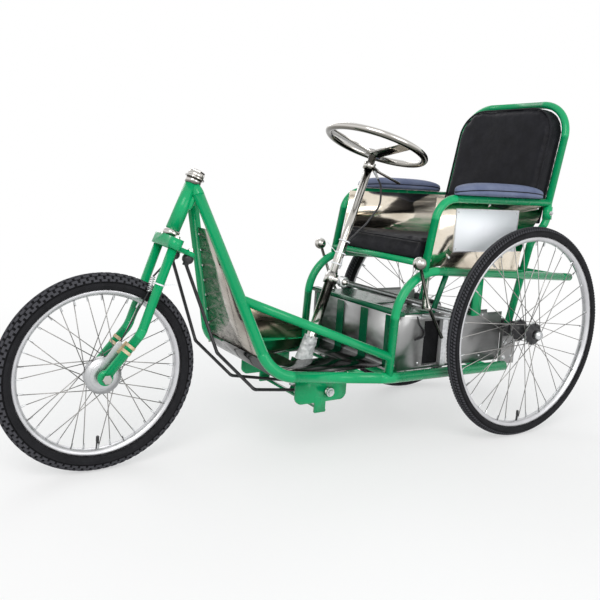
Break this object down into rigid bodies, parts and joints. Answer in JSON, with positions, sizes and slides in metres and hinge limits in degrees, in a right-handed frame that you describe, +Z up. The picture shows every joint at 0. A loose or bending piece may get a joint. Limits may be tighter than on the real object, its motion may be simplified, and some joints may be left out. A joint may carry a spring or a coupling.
{
  "type": "lever-driven invalid tricycle",
  "caption": "Seated tricycle with a rocking drive lever that carries a steering handwheel, wire wheels, a cushioned seat with armrests and a stainless foot well.",
  "frame": {"origin": "on the ground under the middle of the overall length", "axes": "+X forward, +Y to the rider's left, +Z up"},
  "size_m": [1.8438, 0.64, 1.0602],
  "materials": {
    "green_paint": "gloss enamel",
    "chrome_plate": "polished plating",
    "stainless": "bright rolled sheet",
    "zinc_steel": "zinc plated",
    "black_paint": "satin black",
    "black_vinyl": "grained vinyl",
    "slate_vinyl": "grained vinyl",
    "ply_base": "dark stained",
    "tyre_rubber": "matt",
    "white_plate": "blank plate",
    "white_boot": "soft wrap"
  },
  "bodies": {
    "frame": {"head_tube": "green_paint", "headset_cups": "chrome_plate", "main_tube_left": "green_paint", "main_tube_right": "green_paint", "side_rails": "green_paint", "side_loops": "green_paint", "arm_tubes": "green_paint", "backrest_hoop": "green_paint", "rear_posts": "green_paint", "post_sleeves": "green_paint", "cross_tubes": "green_paint", "axle_housings": "black_paint", "pivot_brackets": "green_paint", "leg_shield": "stainless", "floor_pan": "stainless", "foot_panel": "stainless", "underseat_box": "stainless", "box_beam": "green_paint", "seat_brace": "green_paint", "seat_base": "ply_base", "side_panels": "stainless", "name_plate": "white_plate", "seat_cushion": "black_vinyl", "back_pad": "black_vinyl", "arm_pads": "slate_vinyl", "parking_levers": "chrome_plate", "rail_sockets": "green_paint"},
    "fork": {"fork_crown": "green_paint", "head_nut": "chrome_plate", "fork_legs": "green_paint", "front_axle": "zinc_steel", "brake_plate": "zinc_steel"},
    "front_wheel": {"front_tyre": "tyre_rubber", "front_rim": "chrome_plate", "front_spokes_set": "chrome_plate", "front_hub": "zinc_steel"},
    "left_wheel": {"left_tyre": "tyre_rubber", "left_rim": "chrome_plate", "left_spokes": "chrome_plate", "left_hub": "black_paint", "drive_axle": "black_paint"},
    "right_wheel": {"right_tyre": "tyre_rubber", "right_rim": "chrome_plate", "right_spokes": "chrome_plate", "right_hub": "black_paint", "free_axle": "black_paint"},
    "drive_lever": {"lever_yoke": "chrome_plate", "lever_boot": "white_boot"},
    "drive_rod": {"connecting_rod": "zinc_steel"},
    "column": {"column_tube": "chrome_plate", "handwheel": "chrome_plate", "brake_lever": "black_paint", "brake_cable": "black_paint"},
    "lower_arm": {"steering_arm": "zinc_steel"},
    "rod_left": {"tie_rod_left": "black_paint"},
    "rod_right": {"tie_rod_right": "black_paint"}
  },
  "joints": [
    {"name": "steer", "type": "hinge", "parent": "frame", "child": "fork", "pos_m": [0.468, 0, 0.66], "axis": [-0.3827, 0, 0.9239], "range_deg": [-32, 32]},
    {"name": "front_spin", "type": "hinge", "parent": "fork", "child": "front_wheel", "pos_m": [0.668, 0, 0.254], "axis": [0, 1, 0], "continuous": true},
    {"name": "left_spin", "type": "hinge", "parent": "frame", "child": "left_wheel", "pos_m": [-0.592, 0.266, 0.33], "axis": [0, 1, 0], "continuous": true},
    {"name": "right_spin", "type": "hinge", "parent": "frame", "child": "right_wheel", "pos_m": [-0.592, -0.266, 0.33], "axis": [0, 1, 0], "continuous": true},
    {"name": "lever_rock", "type": "hinge", "parent": "frame", "child": "drive_lever", "pos_m": [0.073, 0, 0.184], "axis": [0, 1, 0], "range_deg": [0, 28]},
    {"name": "handwheel_turn", "type": "hinge", "parent": "drive_lever", "child": "column", "pos_m": [-0.02219, 0, 0.4685], "axis": [-0.3173, 0, 0.9483], "range_deg": [-33, 33]},
    {"name": "lower_arm_turn", "type": "hinge", "parent": "frame", "child": "lower_arm", "pos_m": [0.073, 0, 0.184], "axis": [-0.3827, 0, 0.9239], "range_deg": [-33, 33]},
    {"name": "rod_left_swing", "type": "hinge", "parent": "fork", "child": "rod_left", "pos_m": [0.45532, 0.045, 0.55733], "axis": [-0.3827, 0, 0.9239], "range_deg": [-33, 33]},
    {"name": "rod_right_swing", "type": "hinge", "parent": "fork", "child": "rod_right", "pos_m": [0.45532, -0.045, 0.55733], "axis": [-0.3827, 0, 0.9239], "range_deg": [-33, 33]},
    {"name": "rod_swing", "type": "hinge", "parent": "drive_lever", "child": "drive_rod", "pos_m": [-0.02346, 0.062, 0.47229], "axis": [0, 1, 0], "range_deg": [-29, 1]}
  ],
  "couplings": [
    {"joint": "handwheel_turn", "follows": "steer", "ratio": 1},
    {"joint": "lower_arm_turn", "follows": "steer", "ratio": 1},
    {"joint": "rod_left_swing", "follows": "steer", "ratio": -1},
    {"joint": "rod_right_swing", "follows": "steer", "ratio": -1},
    {"joint": "rod_swing", "follows": "lever_rock", "ratio": -0.9317}
  ]
}
